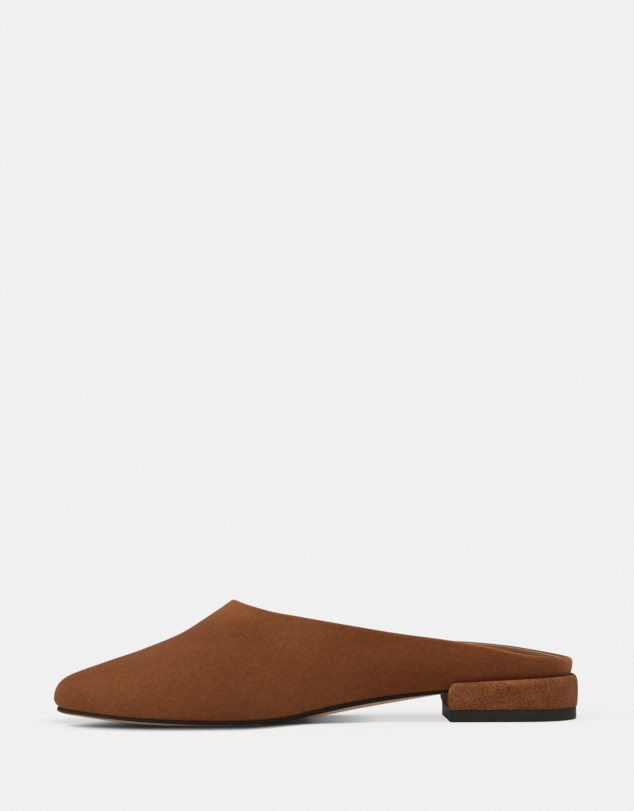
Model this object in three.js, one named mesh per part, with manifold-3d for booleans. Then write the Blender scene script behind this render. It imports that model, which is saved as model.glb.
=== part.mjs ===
import * as THREE from 'three';
import Module from 'manifold-3d';

const wasm = await Module();
wasm.setup();

// A right shoe, in millimetres. -X is the toe, +X the heel, -Y the inner side, +Y the outer side
// and +Z up. Z = 0 is the floor. The shoe is a lasted form: stations run from the toe tip to the
// back of the heel, and each has a rib on either side, which climbs from the foot of the wall,
// out to the widest level and up over the top to the ridge, or as far as the collar.

// Driving sizes.
const toeX = -130.3;           // front of the toe
const heelX = 128;             // back of the upper
const throatX = -42.2;         // where the collar crosses the instep
const breastX = 64.8;          // front face of the heel block
const blockBackX = 130.2;      // back of the heel block
const wall = 2;                // suede, stiffener and lining together
const gap = 0.3;               // clearance between neighbouring pieces
const footbedThickness = 2.8;
const topPieceHeight = 6;

// The last: half widths at the widest level, the ridge line's place across, the heights of the
// ridge, of the widest level and of the outsole's lower edge, the height of that edge's black face,
// and how far the underside bellies below it. Behind the throat the ridge is the ankle's, which
// only leans the walls inwards.
const lastColumns = ['x', 'inner', 'outer', 'ridge', 'crest', 'widest', 'under', 'edge', 'belly'];
const last = [
  [-130.3, 24.0, 10.0, -7.0, 20.7, 11.8, 5.9, 1.7, 1.0],
  [-117.7, 30.5, 18.5, -7.0, 25.0, 12.0, 5.1, 1.4, 1.1],
  [-102.0, 37.0, 27.5, -6.5, 30.4, 12.8, 3.4, 1.4, 1.2],
  [-85.7, 41.5, 34.6, -6.0, 35.9, 13.7, 2.0, 1.5, 1.4],
  [-67.7, 43.1, 40.2, -5.0, 43.3, 14.5, 0.95, 1.75, 0.9],
  [-49.7, 42.2, 43.1, -4.5, 54.5, 15.2, 0.4, 1.75, 0.6],
  [-34.0, 38.0, 41.6, -4.0, 65.2, 16.0, 0.3, 1.65, 0.6],
  [-18.0, 33.2, 38.6, -3.5, 73.2, 17.0, 0.95, 2.0, 1.0],
  [-2.0, 29.4, 35.2, -3.0, 77.6, 18.0, 4.1, 2.1, 1.5],
  [18.0, 26.6, 32.0, -2.0, 80.5, 19.5, 8.2, 2.0, 1.9],
  [40.0, 25.6, 29.4, -1.0, 81.5, 21.0, 11.6, 1.7, 1.6],
  [64.5, 26.4, 27.6, -0.5, 80.0, 23.0, 14.2, 1.1, 0.3],
  [95.0, 27.6, 27.8, 0.0, 77.0, 26.0, 15.0, 1.2, 0.0],
  [128.0, 27.8, 27.8, 0.0, 74.0, 28.5, 15.4, 1.2, 0.0],
].map((row) => Object.fromEntries(row.map((value, i) => [lastColumns[i], value])));

// Height of the collar's edge on each side, behind the throat.
const collar = [
  { x: -38.0, inner: 59.0, outer: 58.0 },
  { x: -32.0, inner: 57.3, outer: 55.2 },
  { x: -25.0, inner: 55.3, outer: 52.3 },
  { x: -8.0, inner: 52.0, outer: 47.2 },
  { x: 16.0, inner: 47.6, outer: 43.2 },
  { x: 40.0, inner: 43.5, outer: 40.0 },
  { x: 64.0, inner: 40.2, outer: 37.8 },
  { x: 82.0, inner: 37.2, outer: 36.6 },
  { x: 101.0, inner: 33.2, outer: 34.5 },
  { x: 113.0, inner: 31.9, outer: 32.6 },
  { x: 128.0, inner: 30.5, outer: 30.5 },
];

// How the plan rounds off at each end, and where the ribs gather into a fan there.
const toeEnd = { length: 14, squareness: 2.3, fanStart: -77, fanCentre: -109.5 };
const heelEnd = { length: 28, squareness: 2.15, fanStart: 85, fanCentre: 102 };

// Rib shapes: how full the top is on each side and at the toe, and the tuck under the widest level.
const fullness = { inner: 2.3, outer: 2.05, toe: 6.8 };
const tuck = { toe: 2.3, ball: 2.6, heel: 3.9 };

// The outsole stands a little proud of the wall's foot, and its underside is crowned from a bevel in.
const sole = { proud: 0.7, bevel: 5, softEdge: 0.35 };

// The heel block: half width at the breast and further back, lip height at both ends, and radii.
const block = {
  frontHalf: 27.4, backHalf: 28.5, frontLip: 19.1, backLip: 22.3, lipCorner: 3.5, sideCorner: 1.2,
};
const blockEnd = { length: 29, squareness: 2.2 };

// The block's side from its base to the lip: how far up, and how far out from the plan.
const blockSide = [
  { up: 0.0, out: -0.4 },
  { up: 0.06, out: 0.0 },
  { up: 0.4, out: 0.4 },
  { up: 0.75, out: 0.35 },
  { up: 0.9, out: -0.1 },
  { up: 0.97, out: -0.9 },
  { up: 1.0, out: -2.2 },
];

// Mesh steps.
const steps = {
  toe: 7, vamp: 10, throat: 6, shank: 9, seat: 5, heel: 8, block: 5, low: 3, high: 7, fine: 120,
};
const ribSteps = steps.low + steps.high;

// A smooth curve through one column of a table with an x column.
function through(rows, column) {
  const end = rows.length - 1;
  const rise = (i) => (rows[i + 1][column] - rows[i][column]) / (rows[i + 1].x - rows[i].x);
  const slopes = rows.map((row, i) => {
    if (i === 0) return rise(0);
    if (i === end) return rise(end - 1);
    const before = row.x - rows[i - 1].x;
    const after = rows[i + 1].x - row.x;
    return (after * rise(i - 1) + before * rise(i)) / (before + after);
  });
  return (x) => {
    let i = 0;
    while (i < end - 1 && x > rows[i + 1].x) i += 1;
    const span = rows[i + 1].x - rows[i].x;
    const t = THREE.MathUtils.clamp((x - rows[i].x) / span, 0, 1);
    const u = 1 - t;
    return rows[i][column] * u * u * (1 + 2 * t) + rows[i + 1][column] * t * t * (1 + 2 * u)
      + span * t * u * (slopes[i] * u - slopes[i + 1] * t);
  };
}

const half = { inner: through(last, 'inner'), outer: through(last, 'outer') };
const ridgeY = through(last, 'ridge');
const crestZ = through(last, 'crest');
const widestZ = through(last, 'widest');
const underZ = through(last, 'under');
const edgeHeight = through(last, 'edge');
const belly = through(last, 'belly');
const footZ = (x) => underZ(x) + edgeHeight(x);

const throatRow = { x: throatX, inner: crestZ(throatX), outer: crestZ(throatX) };
const collarZ = {
  inner: through([throatRow, ...collar], 'inner'),
  outer: through([throatRow, ...collar], 'outer'),
};

// Stations along an outline: x, and how much of the width the end's rounding leaves there.
function endStations(end, tipX, inward, count) {
  return Array.from({ length: count }, (_, k) => {
    const turn = (Math.PI / 2) * (1 - k / count);
    const along = Math.sin(turn) ** (2 / end.squareness);
    const width = k === 0 ? 0 : Math.cos(turn) ** (2 / end.squareness);
    return { x: tipX + inward * end.length * (1 - along), width };
  });
}

// From one x up to the next, closer together at the start where the power is above 1.
function straightStations(from, to, count, power = 1) {
  return Array.from({ length: count }, (_, k) => (
    { x: from + (to - from) * (k / count) ** power, width: 1 }
  ));
}

const throatEndX = throatX + 16;
const seatX = breastX - gap;
const heelTurnX = heelX - heelEnd.length;
const stations = [
  ...endStations(toeEnd, toeX, 1, steps.toe),
  ...straightStations(toeX + toeEnd.length, throatX, steps.vamp),
  ...straightStations(throatX, throatEndX, steps.throat, 2),
  ...straightStations(throatEndX, seatX, steps.shank),
  ...straightStations(seatX, heelTurnX, steps.seat),
  { x: heelTurnX, width: 1 },
  ...endStations(heelEnd, heelX, -1, steps.heel).reverse(),
];
const throatIndex = steps.toe + steps.vamp;
const seatIndex = throatIndex + steps.throat + steps.shank;

// Where a rib starts from on the ridge line: square across, then gathering towards a fan's centre.
function ridgeX(x) {
  const gather = (end, tipX) => {
    const run = (x - end.fanStart) / (tipX - end.fanStart);
    const reach = end.fanCentre - end.fanStart;
    return end.fanStart + reach * (1 - (1 - run) ** ((tipX - end.fanStart) / reach));
  };
  if (x < toeEnd.fanStart) return gather(toeEnd, toeX);
  if (x > heelEnd.fanStart) return gather(heelEnd, heelX);
  return x;
}

function tuckAt(x) {
  const { smoothstep, lerp } = THREE.MathUtils;
  return x < 0
    ? lerp(tuck.toe, tuck.ball, smoothstep(x, toeX, -60))
    : lerp(tuck.ball, tuck.heel, smoothstep(x, 0, heelX));
}

// One rib of the outer face, from the foot of the wall to the ridge or the collar.
function ribOf({ x, width }, side) {
  const middle = (half.outer(x) - half.inner(x)) / 2;
  const reach = (half.outer(x) + half.inner(x)) / 2;
  const widest = new THREE.Vector2(x, middle + (side === 'inner' ? -reach : reach) * width);
  const start = new THREE.Vector2(ridgeX(x), ridgeY(ridgeX(x)));
  const across = widest.clone().sub(start);
  const outward = across.clone().normalize();
  const levelZ = widestZ(x);
  const lowZ = footZ(x) + gap;
  const full = THREE.MathUtils.lerp(fullness[side], fullness.toe, x < 0 ? outward.x ** 2 : 0);
  const wallLine = [];
  const topLine = [];
  for (let k = 0; k <= steps.fine; k += 1) {
    const drop = 1 - k / steps.fine;
    const low = widest.clone().addScaledVector(outward, -tuckAt(x) * drop * drop);
    wallLine.push(new THREE.Vector3(low.x, low.y, levelZ - (levelZ - lowZ) * drop));
    const climb = (Math.PI / 2) * (1 - drop);
    const high = start.clone().addScaledVector(across, drop === 0 ? 0 : Math.cos(climb) ** (2 / full));
    topLine.push(new THREE.Vector3(high.x, high.y, levelZ + (crestZ(high.x) - levelZ) * Math.sin(climb)));
  }
  const toEdge = ridgeX(x) > throatX ? cutAt(topLine, collarZ[side]) : topLine;
  return [...evenly(wallLine, steps.low), ...evenly(toEdge, steps.high).slice(1)];
}

// The line up to where it first climbs past a height that depends on x.
function cutAt(line, heightAt) {
  const over = (point) => point.z - heightAt(point.x);
  const k = line.findIndex((point) => over(point) > 0);
  const [below, above] = [line[k - 1], line[k]];
  return [...line.slice(0, k), below.clone().lerp(above, over(below) / (over(below) - over(above)))];
}

// Points at even distances along a line.
function evenly(line, count) {
  const run = [0];
  for (let k = 1; k < line.length; k += 1) run.push(run[k - 1] + line[k].distanceTo(line[k - 1]));
  let k = 0;
  return Array.from({ length: count + 1 }, (_, step) => {
    const want = run[run.length - 1] * (step / count);
    while (k < line.length - 2 && run[k + 1] < want) k += 1;
    return line[k].clone().lerp(line[k + 1], (want - run[k]) / (run[k + 1] - run[k]));
  });
}

// The outer face: shared points, triangles, and each station's rib on either side by point number.
function outerFace() {
  const points = [];
  const faces = [];
  const inner = [];
  const outer = [];
  const end = stations.length - 1;
  const add = (point) => points.push(point) - 1;
  stations.forEach((station, i) => {
    const isTip = i === 0 || i === end;
    inner.push(ribOf(station, 'inner').map(add));
    outer.push(isTip ? inner[i] : ribOf(station, 'outer').map((point, k) => (
      k === ribSteps && i <= throatIndex ? inner[i][k] : add(point)
    )));
  });
  const quad = (a, b, c, d) => {
    const isShort = points[a].distanceTo(points[c]) < points[b].distanceTo(points[d]);
    faces.push(...(isShort ? [[a, b, c], [a, c, d]] : [[a, b, d], [b, c, d]]));
  };
  for (let i = 0; i < end; i += 1) {
    for (let k = 0; k < ribSteps; k += 1) {
      quad(inner[i][k], inner[i + 1][k], inner[i + 1][k + 1], inner[i][k + 1]);
      quad(outer[i + 1][k], outer[i][k], outer[i][k + 1], outer[i + 1][k + 1]);
    }
  }
  return { points, faces, inner, outer };
}

// Point numbers round the face at one step up its ribs, from a station to the heel and back.
function loopOf(face, step, from) {
  return [
    ...face.inner.slice(from).map((rib) => rib[step]),
    ...face.outer.slice(from, -1).map((rib) => rib[step]).reverse(),
  ].filter((point, i, loop) => loop.indexOf(point) === i);
}

function geometryOf(points, faces) {
  const geometry = new THREE.BufferGeometry();
  const positions = points.flatMap((point) => point.toArray());
  geometry.setAttribute('position', new THREE.Float32BufferAttribute(positions, 3));
  geometry.setIndex(faces.flat());
  return geometry;
}

// The face's points moved out by a distance, along its normals or level with the floor. The toe's
// own rib runs along the ridge, so its last point borrows the next ridge point's normal.
function movedOut(face, distance, isLevel = false) {
  const geometry = geometryOf(face.points, face.faces);
  geometry.computeVertexNormals();
  const normals = geometry.getAttribute('normal');
  const fanTop = face.inner[0][ribSteps];
  return face.points.map((point, i) => {
    const from = i === fanTop ? face.inner[1][ribSteps] : i;
    const normal = new THREE.Vector3().fromBufferAttribute(normals, from);
    if (isLevel) normal.setZ(0).normalize();
    return point.clone().addScaledVector(normal, distance);
  });
}

// The hollow upper: the outer face, the lining side a wall inside it, and the edges that join them.
function upperGeometry(face) {
  const inside = movedOut(face, -wall);
  const level = movedOut(face, -wall, true);
  const foot = loopOf(face, 0, 0);
  const rim = loopOf(face, ribSteps, throatIndex);
  foot.forEach((i) => { inside[i] = level[i]; });
  const count = face.points.length;
  const faces = [...face.faces, ...face.faces.map(([a, b, c]) => [a + count, c + count, b + count])];
  const join = (a, b) => faces.push([a, b, b + count], [a, b + count, a + count]);
  foot.forEach((a, k) => join(foot[(k + 1) % foot.length], a));
  rim.forEach((a, k) => join(a, rim[(k + 1) % rim.length]));
  return geometryOf([...face.points, ...inside], faces);
}

// A closed body from rings of equal length, lowest first. A ring runs back along the inner side and
// forward along the outer side. A round ring starts on its tip; an open one ends square across.
function stack(rings, isRound) {
  const count = rings[0].length;
  const top = (rings.length - 1) * count;
  const faces = [];
  for (let low = 0; low < top; low += count) {
    for (let i = 0; i < count; i += 1) {
      const [a, b] = [low + i, low + (i + 1) % count];
      faces.push([a, b, b + count], [a, b + count, a + count]);
    }
  }
  const partner = (i) => (isRound ? count - i : count - 1 - i) % count;
  const cap = (a, b, c) => {
    if (a !== b && b !== c && c !== a) faces.push([a, c, b], [a + top, b + top, c + top]);
  };
  for (let i = 0; i < (count - 1) / 2; i += 1) {
    cap(i, i + 1, partner(i));
    cap(i + 1, partner(i + 1), partner(i));
  }
  return geometryOf(rings.flat(), faces);
}

// A ring moved inwards, level. An open ring's two ends keep their x.
function drawnIn(ring, distance, isRound) {
  const count = ring.length;
  return ring.map((point, i) => {
    const isEnd = !isRound && (i === 0 || i === count - 1);
    const before = ring[(i + count - 1) % count];
    const after = ring[(i + 1) % count];
    const inward = isEnd
      ? new THREE.Vector3(0, -Math.sign(point.y), 0)
      : new THREE.Vector3(before.y - after.y, after.x - before.x, 0).normalize();
    return point.clone().addScaledVector(inward, distance);
  });
}

const atHeight = (ring, heightAt) => ring.map(({ x, y }) => new THREE.Vector3(x, y, heightAt(x)));

// The footbed lies inside the wall: its lower edge at the wall's foot, its upper edge where the
// wall has leaned out.
function insoleGeometry(face) {
  const level = movedOut(face, -wall - gap, true);
  const inside = movedOut(face, -wall - gap);
  const foot = loopOf(face, 0, 0);
  const next = loopOf(face, 1, 0);
  const low = foot.map((i) => level[i]);
  const high = foot.map((i, k) => {
    const [a, b] = [low[k], inside[next[k]]];
    return a.clone().lerp(b, footbedThickness / (b.z - a.z)).setZ(a.z + footbedThickness);
  });
  return stack([low, high], true);
}

function outsoleGeometry(face) {
  const out = movedOut(face, sole.proud, true);
  const outer = face.outer.slice(1, seatIndex + 1).map((rib) => out[rib[0]]).reverse();
  const inner = face.inner.slice(0, seatIndex + 1).map((rib) => out[rib[0]]);
  const ring = [...outer, ...inner];
  const bevelled = drawnIn(ring, sole.bevel, false);
  const softened = drawnIn(ring, sole.softEdge, false);
  return stack([
    atHeight(bevelled, (x) => Math.max(0, underZ(x) - belly(x))),
    atHeight(softened, underZ),
    atHeight(ring, (x) => underZ(x) + sole.softEdge),
    atHeight(ring, (x) => footZ(x) - sole.softEdge),
    atHeight(softened, footZ),
  ], false);
}

// The heel's plan, a D with its flat side at the breast.
function heelRing() {
  const corner = block.sideCorner;
  const turnX = blockBackX - blockEnd.length;
  const marks = [
    { x: breastX, width: 1 - corner / block.frontHalf },
    { x: breastX + corner, width: 1 },
    { x: breastX + block.lipCorner, width: 1 },
    ...straightStations(breastX + 2 * block.lipCorner, turnX, steps.block),
    { x: turnX, width: 1 },
    ...endStations(blockEnd, blockBackX, -1, steps.heel).reverse(),
  ];
  const halfAt = (x) => THREE.MathUtils.lerp(
    block.frontHalf, block.backHalf, THREE.MathUtils.smoothstep(x, breastX, turnX),
  );
  const inner = marks.map(({ x, width }) => new THREE.Vector3(x, -halfAt(x) * width, 0));
  const outer = inner.slice(0, -1).map(({ x, y }) => new THREE.Vector3(x, -y, 0)).reverse();
  return [...inner, ...outer];
}

// The lip climbs towards the back, and rounds down to the breast in front.
function lipZ(x) {
  const along = (x - breastX) / (blockBackX - breastX);
  const flat = THREE.MathUtils.lerp(block.frontLip, block.backLip, along);
  const short = Math.max(0, breastX + block.lipCorner - x);
  return flat - block.lipCorner + Math.sqrt(block.lipCorner ** 2 - short ** 2);
}

function manifoldOf(geometry) {
  return new wasm.Manifold(new wasm.Mesh({
    numProp: 3,
    vertProperties: geometry.getAttribute('position').array,
    triVerts: new Uint32Array(geometry.getIndex().array),
  }));
}

function geometryFrom(manifold) {
  const { vertProperties, triVerts } = manifold.getMesh();
  const geometry = new THREE.BufferGeometry();
  geometry.setAttribute('position', new THREE.Float32BufferAttribute(vertProperties, 3));
  geometry.setIndex(Array.from(triVerts));
  return geometry;
}

// The space that the lasted wall takes, a gap larger all round, down to the heel seat.
function cupGeometry(face) {
  const out = movedOut(face, gap, true);
  const from = seatIndex - 1;
  return stack([
    loopOf(face, 0, from).map((i) => out[i].clone().setZ(out[i].z - gap)),
    ...Array.from({ length: ribSteps }, (_, k) => loopOf(face, k + 1, from).map((i) => out[i])),
  ], false);
}

function heelBlockGeometry(face) {
  const ring = heelRing();
  const baseZ = topPieceHeight + gap;
  const body = stack(blockSide.map(({ up, out }) => (
    atHeight(drawnIn(ring, -out, false), (x) => THREE.MathUtils.lerp(baseZ, lipZ(x), up))
  )), false);
  return geometryFrom(manifoldOf(body).subtract(manifoldOf(cupGeometry(face))));
}

function topPieceGeometry() {
  const ring = drawnIn(heelRing(), 0.5, false);
  const worn = drawnIn(ring, 0.6, false);
  return stack([
    atHeight(worn, () => 0),
    atHeight(ring, () => 0.6),
    atHeight(ring, () => topPieceHeight),
  ], false);
}

function piece(name, geometry, color, roughness) {
  const material = new THREE.MeshStandardMaterial({ color, roughness, metalness: 0 });
  const mesh = new THREE.Mesh(geometry, material);
  mesh.name = name;
  return mesh;
}

const suede = '#7a4a2d';
const tanLeather = '#b08a66';
const blackEdge = '#2a241e';
const blackRubber = '#24241f';

const face = outerFace();
const shoe = new THREE.Group();
shoe.add(
  piece('upper', upperGeometry(face), suede, 0.95),
  piece('insole', insoleGeometry(face), tanLeather, 0.6),
  piece('outsole', outsoleGeometry(face), blackEdge, 0.5),
  piece('heel_block', heelBlockGeometry(face), suede, 0.95),
  piece('top_piece', topPieceGeometry(), blackRubber, 0.7),
);

export default shoe;
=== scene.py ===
import math

import bmesh
import bpy
import numpy as np
from mathutils import Matrix, Vector, noise


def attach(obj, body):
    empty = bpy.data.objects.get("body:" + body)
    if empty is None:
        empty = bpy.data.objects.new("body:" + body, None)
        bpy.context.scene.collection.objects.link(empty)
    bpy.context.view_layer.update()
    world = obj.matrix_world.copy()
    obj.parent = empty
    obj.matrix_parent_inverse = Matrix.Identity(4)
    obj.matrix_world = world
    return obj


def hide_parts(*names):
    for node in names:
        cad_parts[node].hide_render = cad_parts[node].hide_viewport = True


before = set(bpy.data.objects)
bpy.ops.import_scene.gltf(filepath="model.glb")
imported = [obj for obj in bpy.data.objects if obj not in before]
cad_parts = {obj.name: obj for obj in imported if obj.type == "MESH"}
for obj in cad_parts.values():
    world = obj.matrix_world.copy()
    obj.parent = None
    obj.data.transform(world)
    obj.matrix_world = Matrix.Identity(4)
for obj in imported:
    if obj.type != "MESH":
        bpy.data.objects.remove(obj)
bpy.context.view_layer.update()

# A right mule shoe. -X is the toe, +X the heel, -Y the inner side, +Y the outer side, Z = 0 the
# floor. Sizes here are in millimetres; makePiece turns them into metres.
mm = 0.001

# The last, from toe to heel: half width on each side of the middle, where the ridge line runs, how
# high the crest and the widest line are, the height of the sole's underside, the thickness of its
# edge, and how far its rounded belly hangs below that.
lastColumns = ("x", "inner", "outer", "ridge", "crest", "widest", "under", "edge", "belly")
lastRows = [
    (-130.3, 24.0, 10.0, -7.0, 20.7, 11.8, 5.9, 1.7, 1.0),
    (-117.7, 30.5, 18.5, -7.0, 25.0, 12.0, 5.1, 1.4, 1.1),
    (-102.0, 37.0, 27.5, -6.5, 30.4, 12.8, 3.4, 1.4, 1.2),
    (-85.7, 41.5, 34.6, -6.0, 35.9, 13.7, 2.0, 1.5, 1.4),
    (-67.7, 43.1, 40.2, -5.0, 43.3, 14.5, 0.95, 1.75, 0.9),
    (-49.7, 42.2, 43.1, -4.5, 54.5, 15.2, 0.4, 1.75, 0.6),
    (-34.0, 38.0, 41.6, -4.0, 65.2, 16.0, 0.3, 1.65, 0.6),
    (-18.0, 33.2, 38.6, -3.5, 73.2, 17.0, 0.95, 2.0, 1.0),
    (-2.0, 29.4, 35.2, -3.0, 77.6, 18.0, 4.1, 2.1, 1.5),
    (18.0, 26.6, 32.0, -2.0, 80.5, 19.5, 8.2, 2.0, 1.9),
    (40.0, 25.6, 29.4, -1.0, 81.5, 21.0, 11.6, 1.7, 1.6),
    (64.5, 26.4, 27.6, -0.5, 80.0, 23.0, 14.2, 1.1, 0.3),
    (95.0, 27.6, 27.8, 0.0, 77.0, 26.0, 15.0, 1.2, 0.0),
    (128.0, 27.8, 27.8, 0.0, 74.0, 28.5, 15.4, 1.2, 0.0),
]

# Top of the collar on each side, and the radius that its edge is rolled to.
collarColumns = ("x", "inner", "outer", "roll")
collarRows = [
    (-38.0, 59.0, 58.0, 0.95),
    (-32.0, 57.3, 55.2, 0.95),
    (-25.0, 55.3, 52.3, 1.0),
    (-8.0, 52.0, 47.2, 1.0),
    (16.0, 47.6, 43.2, 1.1),
    (40.0, 43.5, 40.0, 1.2),
    (64.0, 40.2, 37.8, 1.3),
    (82.0, 37.2, 36.6, 1.4),
    (101.0, 33.2, 34.5, 1.6),
    (113.0, 31.9, 32.6, 1.8),
    (128.0, 30.5, 30.5, 2.2),
]

last = {
    "toeX": -130.3,
    "heelX": 128.0,
    "throatX": -42.2,
    "breastX": 64.8,
    "toeLength": 14.0,
    "toeSquareness": 2.3,
    "heelLength": 28.0,
    "heelSquareness": 2.15,
    "toeFan": (-77.0, -109.5),
    "heelFan": (85.0, 102.0),
    "fanEndSlope": 0.12,
    "fullness": {"inner": 2.3, "outer": 2.05, "toe": 6.8},
    "tuck": {"toe": 2.3, "ball": 2.6, "heel": 3.9},
    "ballX": -60.0,
    "throatRun": 16.0,
    "throatCrowding": 1.55,
    "footGap": 0.3,
    "seatGap": 0.3,
}


def curveThrough(columns, rows, name):
    table = np.array(rows, float)
    xs = table[:, 0]
    ys = table[:, columns.index(name)]
    spans = np.diff(xs)
    rise = np.diff(ys) / spans
    slopes = np.empty_like(ys)
    slopes[0], slopes[-1] = rise[0], rise[-1]
    slopes[1:-1] = (spans[1:] * rise[:-1] + spans[:-1] * rise[1:]) / (spans[:-1] + spans[1:])

    def at(x):
        i = np.clip(np.searchsorted(xs, x, side="right") - 1, 0, len(xs) - 2)
        t = np.clip((x - xs[i]) / spans[i], 0, 1)
        u = 1 - t
        ends = ys[i] * u * u * (1 + 2 * t) + ys[i + 1] * t * t * (1 + 2 * u)
        return ends + spans[i] * t * u * (slopes[i] * u - slopes[i + 1] * t)

    return at


halfAt = {side: curveThrough(lastColumns, lastRows, side) for side in ("inner", "outer")}
ridgeAt, crestAt, widestAt, underAt, edgeAt, bellyAt = (
    curveThrough(lastColumns, lastRows, name)
    for name in ("ridge", "crest", "widest", "under", "edge", "belly")
)


def footAt(x):
    return underAt(x) + edgeAt(x)


def smoothStep(x, low, high):
    t = np.clip((x - low) / (high - low), 0, 1)
    return t * t * (3 - 2 * t)


# The crest's slope, and the upright share of its normal.
def crestLean(x):
    slope = crestAt(x + 0.5) - crestAt(x - 0.5)
    return slope, 1 / np.hypot(1, slope)


throatRoll = collarRows[0][collarColumns.index("roll")]
throatTop = float(crestAt(last["throatX"]) + throatRoll * (1 - crestLean(last["throatX"])[1]))
collarTable = [(last["throatX"], throatTop, throatTop, throatRoll), *collarRows]
collarAt = {side: curveThrough(collarColumns, collarTable, side) for side in ("inner", "outer")}
rollAt = curveThrough(collarColumns, collarTable, "roll")


# The heel, a D in plan with its flat side at the breast. From part way up the side the cover's rows
# run over to its top and under to its bottom: how far in, and the share of the height. Its front
# corners stand forward of the breast. The cover carries a painted highlight just below the top of
# its lip.
heel = {
    "backX": 130.2,
    "frontHalf": 27.4,
    "backHalf": 28.5,
    "frontLip": 19.1,
    "backLip": 22.3,
    "lipCorner": 3.5,
    "sideCorner": 1.2,
    "cornerForward": {"inner": 1.0, "outer": 0.5},
    "cornerClimb": 0.3,
    "cornerRun": 7.0,
    "cornerInset": (5.0, 1.5),
    "lightened": 0.35,
    "highlightFrom": (-3.2, -0.6),
    "backLength": 29.0,
    "backSquareness": 2.2,
    "rubberTop": 6.0,
    "seam": 0.12,
    "seatGap": 0.1,
    "stations": {"corner": 6, "lip": 8, "side": 26, "back": 36},
    "cornerGap": 0.2,
    "columns": 56,
    "over": [(-0.40, 0.40), (-0.42, 0.55), (-0.38, 0.68), (-0.24, 0.78), (0.02, 0.86), (0.38, 0.92),
             (0.80, 0.96), (1.25, 0.985), (1.8, 1.0), (2.4, 0.99), (2.9, 0.95), (3.3, 0.86), (3.7, 0.70)],
    "under": [(-0.40, 0.40), (-0.34, 0.28), (-0.20, 0.16), (-0.05, 0.08), (0.12, 0.03), (0.40, 0.0),
              (1.2, 0.0)],
}


def lipAt(x):
    length = heel["backX"] - last["breastX"]
    flat = heel["frontLip"] + (heel["backLip"] - heel["frontLip"]) * (x - last["breastX"]) / length
    short = np.clip(last["breastX"] + heel["lipCorner"] - x, 0, heel["lipCorner"])
    return flat - heel["lipCorner"] + np.sqrt(heel["lipCorner"] ** 2 - short ** 2)


# Stations along the last: where each stands, and how much of the full width is left there.
def endStations(tipX, inward, length, squareness, count):
    turn = (math.pi / 2) * (1 - np.arange(count) / count)
    along = np.sin(turn) ** (2 / squareness)
    width = np.cos(turn) ** (2 / squareness)
    width[0] = 0
    return list(zip(tipX + inward * length * (1 - along), width))


def straightStations(start, end, count, power=1.0):
    return [(start + (end - start) * (k / count) ** power, 1.0) for k in range(count)]


steps = {"toe": 26, "vamp": 50, "throat": 34, "shank": 56, "seat": 20, "heel": 32, "rib": 44, "fine": 480}
throatEndX = last["throatX"] + last["throatRun"]
seatX = last["breastX"] - last["seatGap"]
heelTurnX = last["heelX"] - last["heelLength"]
stations = [
    *endStations(last["toeX"], 1, last["toeLength"], last["toeSquareness"], steps["toe"]),
    *straightStations(last["toeX"] + last["toeLength"], last["throatX"], steps["vamp"]),
    *straightStations(last["throatX"], throatEndX, steps["throat"], last["throatCrowding"]),
    *straightStations(throatEndX, seatX, steps["shank"]),
    *straightStations(seatX, heelTurnX, steps["seat"]),
    (heelTurnX, 1.0),
    *endStations(last["heelX"], -1, last["heelLength"], last["heelSquareness"], steps["heel"])[::-1],
]
throatIndex = steps["toe"] + steps["vamp"]
seatIndex = throatIndex + steps["throat"] + steps["shank"]


# Where a rib leaves the ridge line: square across, then gathering into a fan at either end.
def ridgeStart(x):
    for (fanStart, fanCentre), tipX in ((last["toeFan"], last["toeX"]), (last["heelFan"], last["heelX"])):
        run = (x - fanStart) / (tipX - fanStart)
        if run > 0:
            full = tipX - fanStart
            gathered = (fanCentre - fanStart) / full * (3 - 2 * run) * run * run
            leaving = run * (1 - run) ** 2
            arriving = last["fanEndSlope"] * run * run * (1 - run)
            return fanStart + full * (gathered + leaving - arriving)
    return x


# How far the wall tucks in below its widest line.
def tuckAt(x):
    tuck = last["tuck"]
    if x < 0:
        return tuck["toe"] + (tuck["ball"] - tuck["toe"]) * smoothStep(x, last["toeX"], last["ballX"])
    return tuck["ball"] + (tuck["heel"] - tuck["ball"]) * smoothStep(x, 0, last["heelX"])


def ribOf(x, width, side):
    middle = (halfAt["outer"](x) - halfAt["inner"](x)) / 2
    reach = (halfAt["outer"](x) + halfAt["inner"](x)) / 2
    widest = np.array([x, middle + (-reach if side == "inner" else reach) * width])
    startX = ridgeStart(x)
    start = np.array([startX, float(ridgeAt(startX))])
    across = widest - start
    outward = across / np.linalg.norm(across)
    levelZ, lowZ = widestAt(x), footAt(x) + last["footGap"]
    full = last["fullness"][side]
    if x < 0:
        full += (last["fullness"]["toe"] - full) * outward[0] ** 2
    drop = 1 - np.arange(steps["fine"]) / steps["fine"]
    low = widest - outward * (tuckAt(x) * drop * drop)[:, None]
    wallLine = np.column_stack([low, levelZ - (levelZ - lowZ) * drop])
    climb = (math.pi / 2) * np.linspace(0, 1, steps["fine"] + 1)
    share = np.cos(climb) ** (2 / full)
    share[-1] = 0
    high = start + across * share[:, None]
    topLine = np.column_stack([high, levelZ + (crestAt(high[:, 0]) - levelZ) * np.sin(climb)])
    line = np.vstack([wallLine, topLine])
    if startX > last["throatX"]:
        line = cutAtCollar(line, side)
    return evenly(line, steps["rib"])


# The skin ends where the rolled edge takes over, so that the roll's top is at the collar's height.
def cutAtCollar(line, side):
    step = np.gradient(line, axis=0)
    lean = np.hypot(step[:, 0], step[:, 1]) / np.linalg.norm(step, axis=1) * crestLean(line[:, 0])[1]
    over = line[:, 2] + rollAt(line[:, 0]) * (1 - lean) - collarAt[side](line[:, 0])
    k = int(np.argmax(over > 0))
    t = over[k - 1] / (over[k - 1] - over[k])
    return np.vstack([line[:k], line[k - 1] + (line[k] - line[k - 1]) * t])


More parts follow.
